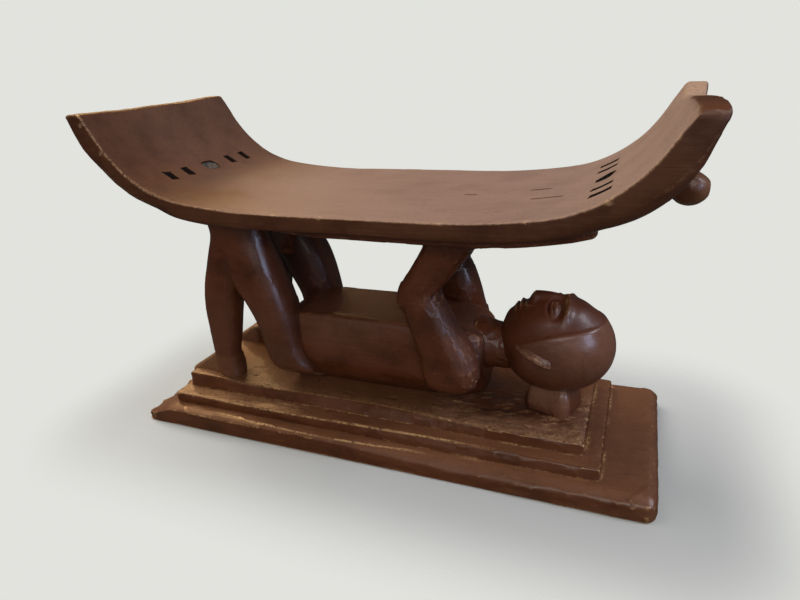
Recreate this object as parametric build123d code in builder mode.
from build123d import *
import os
from math import asin, cos, degrees, radians, sin

# A carved West African stool. A figure lies on its back on a stepped base, and its knees and
# palms carry a long seat that curves up at both ends. Millimetres, +X towards the figure's head,
# +Z up, origin on the floor below the middle of the seat. The figure's own left is at -Y.
# The wood is one block: each form of the carving is a closed solid, cut to meet its neighbours.

# Base: three slabs, each set in from the one below it
plinth_length = 592.0
plinth_width = 214.0
plinth_thickness = 23.0
plinth_shift = -6.0  # from the middle of the seat to the middle of the plinth
plinth_corner_radius = 9.0
plinth_edge_radius = 7.0
middle_step_thickness = 12.0
middle_step_head_inset = 52.0
middle_step_foot_inset = 39.0
middle_step_side_inset = 17.0
top_step_thickness = 12.0
top_step_head_inset = 17.0
top_step_foot_inset = 8.0
top_step_side_inset = 20.0
step_corner_radius = 4.0
step_edge_radius = 2.5

# Seat: a flat middle, a gentle arc and a tight arc up to each straight tip, above and below
seat_width = 232.0
seat_thickness = 17.0
seat_flat_length = 156.0
seat_gentle_radius = 712.0
seat_gentle_angle = 7.9
seat_curl_radius = 124.0
seat_curl_angle = 61.7
seat_tip_length = 25.0
under_flat_extra = 58.0  # how much longer the flat is below than above
under_gentle_radius = 437.0
under_gentle_angle = 16.6
under_curl_radius = 87.0
under_curl_angle = 74.6
seat_tip_dip = 5.0  # the end edges are hollow by this much in the middle
seat_tip_corner_radius = 6.0
seat_lower_edge_radius = 9.0

# Openings in a row near each end of the seat: two slots, a wider middle one and two more slots
slot_length = 17.0
slot_spacing = 27.0
first_slot_offset = 39.0  # from the middle plane to the nearest slot
foot_end_slot_width = 7.0
head_end_slot_width = 4.5
foot_end_slot_distance = 223.0  # from the middle of the seat
head_end_slot_distance = 217.0
middle_opening_length = 15.0
foot_end_opening_width = 23.0
head_end_opening_width = 11.0
plug_depth = 9.0
plug_sink = 1.5  # the plug's face lies this far below the seat's top

# Raised block left under the seat, from the knees to past the hands
pad_width = 200.0
pad_thickness = 9.0
pad_foot_end = -112.0
pad_head_end = 219.0
pad_fade_length = 90.0  # it thins towards the knees over this length
pad_fade_depth = 5.0
pad_edge_radius = 4.0

# Rounded lug under the raised end of the seat, on the head's side
lug_radius = 15.5
lug_reach = 22.0
lug_root_angle = 46.0  # how far the under curl has turned where the lug leaves it
lug_tilt = 37.5  # below level

# Legs: the open height from the base to the seat, then places along the stool
figure_height = 211.5
hip_x = -118.0
knee_x = -160.0
ankle_x = -205.0
leg_spread = 48.0  # from the middle plane to a leg's centre
thigh_girth = 58.0
shin_girth = 40.0
foot_length = 62.0
foot_width = 31.0
foot_height = 34.0
toe_height = 10.0
heel_length = 16.0  # behind the ankle's centre
foot_edge_radius = 4.0
web_foot_end = -186.0
web_head_end = -134.0
web_depth = 54.0  # from the seat down to the crown of the arch
web_arch_radius = 27.0

# Trunk
trunk_width = 102.0
trunk_height = 95.0
trunk_heart = 42.75  # height above the base that the trunk's smaller sections shrink towards
crotch_x = -146.0
waist_x = -45.0
neck_base_x = 110.0

# Arms
shoulder_x = 82.0
elbow_x = 50.0
wrist_x = 88.0
elbow_height = 137.0  # above the base
arm_spread = 55.0  # from the middle plane to an arm's centre
upper_arm_girth = 60.0
forearm_girth = 49.0
hand_length = 86.0
hand_reach = 56.0  # past the wrist's centre, to the fingertips
hand_width = 40.0
hand_thickness = 9.5
hand_corner_radius = 15.0
hand_edge_radius = 4.0

# Neck, head and pillow
neck_height = 63.0  # from the base to its centre
neck_width = 50.0
neck_depth = 52.0
head_x = 181.0
head_height = 72.5  # from the base to its centre
head_length = 118.0
head_width = 92.0
head_depth = 106.0  # from the face to the back of the head
nose_length = 27.0
nose_width = 19.0
nose_height = 5.0
ear_x_offset = -16.0  # from the head's centre towards the chin
ear_rise = 4.0  # above the head's centre
ear_length = 32.0
ear_width = 15.0
ear_relief = 3.5
pillow_length = 53.0
pillow_width = 48.0
pillow_height = 32.0
pillow_edge_radius = 6.0

# Levels that follow from the sizes above
under_flat_length = seat_flat_length + under_flat_extra
middle_step_base = plinth_thickness
top_step_base = middle_step_base + middle_step_thickness
deck = top_step_base + top_step_thickness
seat_underside = deck + figure_height
seat_top = seat_underside + seat_thickness
pad_underside = seat_underside - pad_thickness
hand_underside = pad_underside - hand_thickness
leg_top = seat_underside + 0.75 * seat_thickness  # inside the seat, which cuts the legs to meet it
bedding = 3.0  # how far a form reaches into its neighbour before it is cut to meet it

# Each section of a limb: share of its height, share of its way along, half girth fore and aft
# and half girth across, both as shares of the limb's girth.
shin_sections = [
    (0.04, 0.00, 0.38, 0.37),
    (0.16, 0.00, 0.41, 0.40),
    (0.28, 0.03, 0.46, 0.45),
    (0.40, 0.08, 0.50, 0.49),
    (0.52, 0.19, 0.52, 0.51),
    (0.64, 0.38, 0.53, 0.52),
    (0.76, 0.62, 0.53, 0.52),
    (0.88, 0.84, 0.50, 0.49),
]
thigh_sections = [
    (0.06, 0.00, 0.27, 0.26),
    (0.18, 0.00, 0.37, 0.36),
    (0.30, 0.06, 0.38, 0.37),
    (0.42, 0.18, 0.42, 0.41),
    (0.54, 0.42, 0.50, 0.45),
    (0.66, 0.66, 0.54, 0.45),
    (0.78, 0.86, 0.57, 0.44),
    (0.90, 1.00, 0.59, 0.43),
    (1.02, 1.06, 0.60, 0.42),
]
upper_arm_sections = [
    (0.14, 0.04, 0.19, 0.17),
    (0.21, 0.04, 0.35, 0.28),
    (0.31, 0.00, 0.46, 0.35),
    (0.45, 0.02, 0.50, 0.37),
    (0.60, 0.22, 0.48, 0.37),
    (0.75, 0.48, 0.43, 0.36),
    (0.88, 0.69, 0.39, 0.35),
    (0.98, 0.91, 0.36, 0.33),
    (1.04, 1.02, 0.28, 0.26),
]
forearm_sections = [
    (-0.18, -0.14, 0.32, 0.32),
    (-0.06, -0.06, 0.40, 0.38),
    (0.07, 0.02, 0.44, 0.40),
    (0.37, 0.33, 0.47, 0.40),
    (0.67, 0.65, 0.50, 0.40),
    (1.00, 1.00, 0.52, 0.40),
]

# Half outline of the trunk from the top round to the underside: shares of its half width and height
trunk_outline = [
    (0.84, 1.00),
    (0.98, 0.77),
    (1.00, 0.45),
    (0.88, 0.22),
    (0.45, 0.00),
]
# Each section of the trunk: place along it, then its size as a share of the full outline
hip_sections = [(0.00, 0.40), (0.14, 0.66), (0.33, 0.88), (0.55, 1.00), (1.00, 1.00)]
chest_sections = [(0.00, 1.00), (0.68, 0.99), (0.87, 0.92), (1.00, 0.78)]


def slab(length, width, thickness, middle_x, floor, corner_radius, edge_radius):
    """A flat slab with round upright corners and a rounded top edge."""
    with BuildPart() as slab_part:
        with BuildSketch(Plane.XY.offset(floor)):
            with Locations((middle_x, 0)):
                RectangleRounded(length, width, corner_radius)
        extrude(amount=thickness)
        fillet(slab_part.faces().sort_by(Axis.Z)[-1].edges(), radius=edge_radius)
    return slab_part


def curl_point(flat_length, gentle_radius, gentle_angle, curl_radius, level, angle):
    """Where a seat curve has turned by an angle, on its tight arc at the +X end."""
    turn = radians(gentle_angle)
    along = sin(radians(angle)) - sin(turn)
    up = cos(turn) - cos(radians(angle))
    x = flat_length / 2 + gentle_radius * sin(turn) + curl_radius * along
    z = level + gentle_radius * (1 - cos(turn)) + curl_radius * up
    return x, z


def top_point(angle):
    return curl_point(
        seat_flat_length, seat_gentle_radius, seat_gentle_angle, seat_curl_radius, seat_top, angle
    )


def under_point(angle):
    return curl_point(
        under_flat_length,
        under_gentle_radius,
        under_gentle_angle,
        under_curl_radius,
        seat_underside,
        angle,
    )


def seat_slope(distance):
    """Angle of the seat's top at a distance from its middle, on the tight arc."""
    start = top_point(seat_gentle_angle)[0]
    return degrees(asin(sin(radians(seat_gentle_angle)) + (distance - start) / seat_curl_radius))


def slot_plane(distance, end):
    """A plane on the seat's top at a row of slots, with x along the seat."""
    slope = seat_slope(distance)
    x, z = top_point(slope)
    rise = end * sin(radians(slope))
    run = cos(radians(slope))
    return Plane(origin=(end * x, 0, z), x_dir=(run, 0, rise), z_dir=(-rise, 0, run))


def level_limb(sections, base, height, start_x, end_x, girth, side_y):
    """A limb lofted through level ellipses from its lower end to its upper end."""
    with BuildPart() as limb:
        for up, along, fore, across in sections:
            with BuildSketch(Plane.XY.offset(base + up * height)):
                with Locations((start_x + along * (end_x - start_x), side_y)):
                    Ellipse(fore * girth, across * girth)
        loft()
    return limb


def trunk_piece(sections, start_x, end_x):
    """A faceted length of trunk, lofted through upright sections and cut to lie on the base."""
    with BuildPart() as piece:
        for along, share in sections:
            right = [
                (
                    share * out * trunk_width / 2,
                    deck
                    + trunk_heart
                    + share * (up * trunk_height - bedding * (up == 0) - trunk_heart),
                )
                for out, up in trunk_outline
            ]
            left = [(-y, z) for y, z in reversed(right)]
            with BuildSketch(Plane.YZ.offset(start_x + along * (end_x - start_x))):
                with BuildLine():
                    Polyline(*right, *left, close=True)
                make_face()
        loft(ruled=True)
        add(top_step.part, mode=Mode.SUBTRACT)
    return piece


# Base
plinth = slab(
    plinth_length,
    plinth_width,
    plinth_thickness,
    plinth_shift,
    0,
    plinth_corner_radius,
    plinth_edge_radius,
)
plinth.part.label = "plinth"

middle_step_length = plinth_length - middle_step_head_inset - middle_step_foot_inset
middle_step_width = plinth_width - 2 * middle_step_side_inset
middle_step_x = plinth_shift + (middle_step_foot_inset - middle_step_head_inset) / 2
middle_step = slab(
    middle_step_length,
    middle_step_width,
    middle_step_thickness,
    middle_step_x,
    middle_step_base,
    step_corner_radius,
    step_edge_radius,
)
middle_step.part.label = "middle_step"

top_step_length = middle_step_length - top_step_head_inset - top_step_foot_inset
top_step_width = middle_step_width - 2 * top_step_side_inset
top_step_x = middle_step_x + (top_step_foot_inset - top_step_head_inset) / 2
top_step = slab(
    top_step_length,
    top_step_width,
    top_step_thickness,
    top_step_x,
    top_step_base,
    step_corner_radius,
    step_edge_radius,
)
top_step.part.label = "top_step"

# Seat
tip_x = top_point(seat_curl_angle)[0] + seat_tip_length * cos(radians(seat_curl_angle))
tip_z = top_point(seat_curl_angle)[1] + seat_tip_length * sin(radians(seat_curl_angle))
under_end_x, under_end_z = under_point(under_curl_angle)
under_tip_length = (tip_z - under_end_z) / sin(radians(under_curl_angle))
outer_tip_x = under_end_x + under_tip_length * cos(radians(under_curl_angle))
under_corner_x = [
    under_flat_length / 2,
    under_point(under_gentle_angle)[0],
    under_end_x,
    outer_tip_x,
]
slot_places = [
    side * (first_slot_offset + step * slot_spacing) for side in (-1, 1) for step in (0, 1)
]
tip_arc_radius = ((seat_width / 2) ** 2 + seat_tip_dip**2) / (2 * seat_tip_dip)


def is_under_edge(edge):
    """True for the lower long edges: both their ends are corners of the under curve."""
    return all(
        min(abs(abs(vertex.X) - corner) for corner in under_corner_x) < 0.01
        for vertex in edge.vertices()
    )


with BuildPart() as seat:
    with BuildSketch(Plane.XZ) as seat_profile:
        with BuildLine():
            top_flat = Line((0, seat_top), (seat_flat_length / 2, seat_top))
            top_gentle = JernArc(top_flat @ 1, (1, 0), seat_gentle_radius, seat_gentle_angle)
            top_curl = JernArc(
                top_gentle @ 1,
                top_gentle % 1,
                seat_curl_radius,
                seat_curl_angle - seat_gentle_angle,
            )
            Line(top_curl @ 1, (tip_x, tip_z))
            Line((tip_x, tip_z), (outer_tip_x, tip_z))
            under_flat = Line((0, seat_underside), (under_flat_length / 2, seat_underside))
            under_gentle = JernArc(
                under_flat @ 1, (1, 0), under_gentle_radius, under_gentle_angle
            )
            under_curl = JernArc(
                under_gentle @ 1,
                under_gentle % 1,
                under_curl_radius,
                under_curl_angle - under_gentle_angle,
            )
            Line(under_curl @ 1, (outer_tip_x, tip_z))
            Line((0, seat_top), (0, seat_underside))
        make_face()
        mirror(about=Plane.YZ)
    extrude(amount=seat_width / 2, both=True)
    long_edges = seat.edges().filter_by(is_under_edge)
    fillet(
        [edge for edge in long_edges if abs(edge.center().Y) > seat_width / 2 - 0.01],
        radius=seat_lower_edge_radius,
    )
    tips = seat.faces().filter_by(Axis.Z).filter_by_position(Axis.Z, tip_z - 1, tip_z + 1)
    fillet(tips.edges().filter_by(Axis.X), radius=seat_tip_corner_radius)
    with BuildSketch(Plane.YZ):
        with Locations((0, tip_z + tip_arc_radius - seat_tip_dip)):
            Circle(tip_arc_radius)
    extrude(amount=outer_tip_x + bedding, both=True, mode=Mode.SUBTRACT)
    for distance, end, slot_width in (
        (foot_end_slot_distance, -1, foot_end_slot_width),
        (head_end_slot_distance, 1, head_end_slot_width),
    ):
        with BuildSketch(slot_plane(distance, end)):
            with Locations([(0, place) for place in slot_places]):
                Rectangle(slot_length, slot_width)
        extrude(amount=2 * seat_thickness, both=True, mode=Mode.SUBTRACT)
    with BuildSketch(slot_plane(head_end_slot_distance, 1)):
        Rectangle(middle_opening_length, head_end_opening_width)
    extrude(amount=2 * seat_thickness, both=True, mode=Mode.SUBTRACT)
    # The foot end's middle opening is a blind pocket that the plug fills
    with BuildSketch(slot_plane(foot_end_slot_distance, -1).offset(-plug_sink - plug_depth)):
        Rectangle(middle_opening_length, foot_end_opening_width)
    extrude(amount=2 * seat_thickness, mode=Mode.SUBTRACT)
seat.part.label = "seat"

plug_face = slot_plane(foot_end_slot_distance, -1).offset(-plug_sink)
with BuildPart() as foot_end_plug:
    with BuildSketch(plug_face):
        Rectangle(middle_opening_length, foot_end_opening_width)
    extrude(amount=-plug_depth)
foot_end_plug.part.label = "foot_end_plug"

with BuildPart() as underseat_pad:
    with BuildSketch(Plane.XZ):
        with BuildLine():
            pad_flat = Line((pad_foot_end, pad_underside), (under_flat_length / 2, pad_underside))
            pad_gentle = JernArc(
                pad_flat @ 1, (1, 0), under_gentle_radius + pad_thickness, under_gentle_angle
            )
            pad_curl = JernArc(
                pad_gentle @ 1,
                pad_gentle % 1,
                under_curl_radius + pad_thickness,
                under_curl_angle - under_gentle_angle,
            )
            Polyline(pad_curl @ 1, (under_end_x, tip_z), (pad_foot_end, tip_z), pad_flat @ 0)
        make_face()
        with BuildLine(mode=Mode.PRIVATE) as seat_under_line:
            cut_flat = Line((pad_foot_end, seat_underside), (under_flat_length / 2, seat_underside))
            cut_gentle = JernArc(
                cut_flat @ 1, (1, 0), under_gentle_radius, under_gentle_angle
            )
            cut_curl = JernArc(
                cut_gentle @ 1,
                cut_gentle % 1,
                under_curl_radius,
                under_curl_angle - under_gentle_angle,
            )
            Polyline(cut_curl @ 1, (under_end_x, tip_z), (pad_foot_end, tip_z), cut_flat @ 0)
        make_face(seat_under_line.edges(), mode=Mode.SUBTRACT)
        with Locations(((pad_foot_end + pad_head_end) / 2, seat_underside)):
            Rectangle(pad_head_end - pad_foot_end, 2 * seat_width, mode=Mode.INTERSECT)
        with BuildLine(mode=Mode.PRIVATE) as fade_line:
            Polyline(
                (pad_foot_end, pad_underside),
                (pad_foot_end + pad_fade_length, pad_underside),
                (pad_foot_end, pad_underside + pad_fade_depth),
                close=True,
            )
        make_face(fade_line.edges(), mode=Mode.SUBTRACT)
    extrude(amount=pad_width / 2, both=True)
    head_end_edges = underseat_pad.edges().filter_by(Axis.Y).group_by(Axis.X)[-1]
    fillet(head_end_edges.sort_by(Axis.Z)[0], radius=pad_edge_radius)
underseat_pad.part.label = "underseat_pad"

lug_root_x, lug_root_z = under_point(lug_root_angle)
lug_axis = (cos(radians(lug_tilt)), 0, -sin(radians(lug_tilt)))
lug_plane = Plane(origin=(lug_root_x, 0, lug_root_z), z_dir=lug_axis)
with BuildPart() as grip_lug:
    with BuildSketch(lug_plane.offset(-seat_thickness / 2)):
        Circle(lug_radius)
    extrude(amount=lug_reach + seat_thickness / 2)
    with Locations(lug_plane.offset(lug_reach)):
        Sphere(lug_radius)
    add(seat.part, mode=Mode.SUBTRACT)
grip_lug.part.label = "grip_lug"

# Trunk
hips = trunk_piece(hip_sections, crotch_x, waist_x)
hips.part.label = "hips"
chest = trunk_piece(chest_sections, waist_x, neck_base_x)
chest.part.label = "chest"

# Head, neck and pillow
head_level = deck + head_height
with BuildPart() as skull:
    Sphere(head_depth / 2, rotation=(45, 90, 0))
    scale(by=(head_length / head_depth, head_width / head_depth, 1))

with BuildPart() as head:
    with Locations((head_x, 0, head_level)):
        add(skull.part)
    with BuildSketch(Plane.XZ):
        with BuildLine():
            Polyline(
                (head_x, head_level),
                (head_x - nose_length, head_level),
                (head_x - nose_length, head_level + head_depth / 2 + nose_height),
                (head_x, head_level + head_depth / 2 - bedding),
                close=True,
            )
        make_face()
    extrude(amount=nose_width / 2, both=True)
head.part.label = "head"

with BuildPart() as neck:
    for neck_x in (neck_base_x - bedding * 4, head_x - head_length / 4):
        with BuildSketch(Plane.YZ.offset(neck_x)):
            with Locations((0, deck + neck_height)):
                Ellipse(neck_width / 2, neck_depth / 2)
    loft()
    add(chest.part, mode=Mode.SUBTRACT)
    add(head.part, mode=Mode.SUBTRACT)
neck.part.label = "neck"

with BuildPart() as pillow:
    with BuildSketch(Plane.XY.offset(deck)):
        with Locations((head_x, 0)):
            Rectangle(pillow_length, pillow_width)
    extrude(amount=pillow_height)
    fillet(pillow.edges().filter_by(Axis.Z), radius=pillow_edge_radius)
    add(head.part, mode=Mode.SUBTRACT)
pillow.part.label = "pillow"

# Limbs, in pairs: the figure's own left is at -Y
pairs = {}
for side, side_name in ((-1, "left"), (1, "right")):
    leg_y = side * leg_spread
    leg_height = leg_top - deck
    thigh = level_limb(thigh_sections, deck, leg_height, hip_x, knee_x, thigh_girth, leg_y)
    with thigh:
        add(hips.part, mode=Mode.SUBTRACT)
        add(seat.part, mode=Mode.SUBTRACT)
    pairs[f"{side_name}_thigh"] = thigh.part

    shin = level_limb(shin_sections, deck, leg_height, ankle_x, knee_x, shin_girth, leg_y)
    with shin:
        add(thigh.part, mode=Mode.SUBTRACT)
        add(seat.part, mode=Mode.SUBTRACT)
    pairs[f"{side_name}_shin"] = shin.part

    heel_x = ankle_x + heel_length
    toe_x = heel_x - foot_length
    with BuildPart() as foot:
        with BuildSketch(Plane.XZ.offset(-leg_y)):
            with BuildLine():
                Polyline(
                    (heel_x, deck),
                    (heel_x, deck + foot_height),
                    (ankle_x - heel_length, deck + foot_height),
                    (toe_x, deck + toe_height),
                    (toe_x, deck),
                    close=True,
                )
            make_face()
        extrude(amount=foot_width / 2, both=True)
        upper_edges = foot.edges().filter_by_position(Axis.Z, deck + 1, seat_underside)
        fillet(upper_edges, radius=foot_edge_radius)
        add(shin.part, mode=Mode.SUBTRACT)
    pairs[f"{side_name}_foot"] = foot.part

    arm_y = side * arm_spread
    arm_height = elbow_height
    upper_arm = level_limb(
        upper_arm_sections, deck, arm_height, shoulder_x, elbow_x, upper_arm_girth, arm_y
    )
    with upper_arm:
        add(chest.part, mode=Mode.SUBTRACT)
    pairs[f"{side_name}_upper_arm"] = upper_arm.part

    elbow_level = deck + elbow_height
    forearm = level_limb(
        forearm_sections,
        elbow_level,
        hand_underside - elbow_level,
        elbow_x,
        wrist_x,
        forearm_girth,
        arm_y,
    )
    with forearm:
        add(upper_arm.part, mode=Mode.SUBTRACT)
    pairs[f"{side_name}_forearm"] = forearm.part

    with BuildPart() as hand:
        with BuildSketch(Plane.XY.offset(hand_underside)):
            with Locations((wrist_x + hand_reach - hand_length / 2, arm_y)):
                RectangleRounded(hand_length, hand_width, hand_corner_radius)
        extrude(amount=hand_thickness)
        fillet(hand.faces().sort_by(Axis.Z)[0].edges(), radius=hand_edge_radius)
    pairs[f"{side_name}_hand"] = hand.part

    # A low wedge in relief on the side of the head
    ear_plane = Plane.XZ.offset(-side * (head_width / 2 + ear_relief))
    ear_place = (head_x + ear_x_offset, head_level + ear_rise)
    with BuildPart() as ear:
        with BuildSketch(ear_plane):
            with Locations(ear_place):
                Ellipse(ear_length / 2, ear_width / 2)
        extrude(amount=side * head_width / 6)
        add(head.part, mode=Mode.SUBTRACT)
    pairs[f"{side_name}_ear"] = ear.part

# Web of wood left between the knees, arched underneath
with BuildPart() as knee_web:
    with BuildSketch(Plane.YZ.offset(web_foot_end)):
        arch_crown = seat_underside - web_depth
        with Locations((0, (arch_crown - web_arch_radius + leg_top) / 2)):
            Rectangle(2 * leg_spread, leg_top - arch_crown + web_arch_radius)
        with Locations((0, arch_crown - web_arch_radius)):
            Circle(web_arch_radius, mode=Mode.SUBTRACT)
    extrude(amount=web_head_end - web_foot_end)
    for side_name in ("left", "right"):
        add(pairs[f"{side_name}_thigh"], mode=Mode.SUBTRACT)
        add(pairs[f"{side_name}_shin"], mode=Mode.SUBTRACT)
    add(seat.part, mode=Mode.SUBTRACT)
knee_web.part.label = "knee_web"

for pair_name, pair_part in pairs.items():
    pair_part.label = pair_name

os.makedirs("parts", exist_ok=True)
single_parts = [
    plinth.part,
    middle_step.part,
    top_step.part,
    seat.part,
    foot_end_plug.part,
    underseat_pad.part,
    grip_lug.part,
    hips.part,
    chest.part,
    head.part,
    neck.part,
    pillow.part,
    knee_web.part,
]
for finished in single_parts + list(pairs.values()):
    export_step(finished, f"parts/{finished.label}.step")
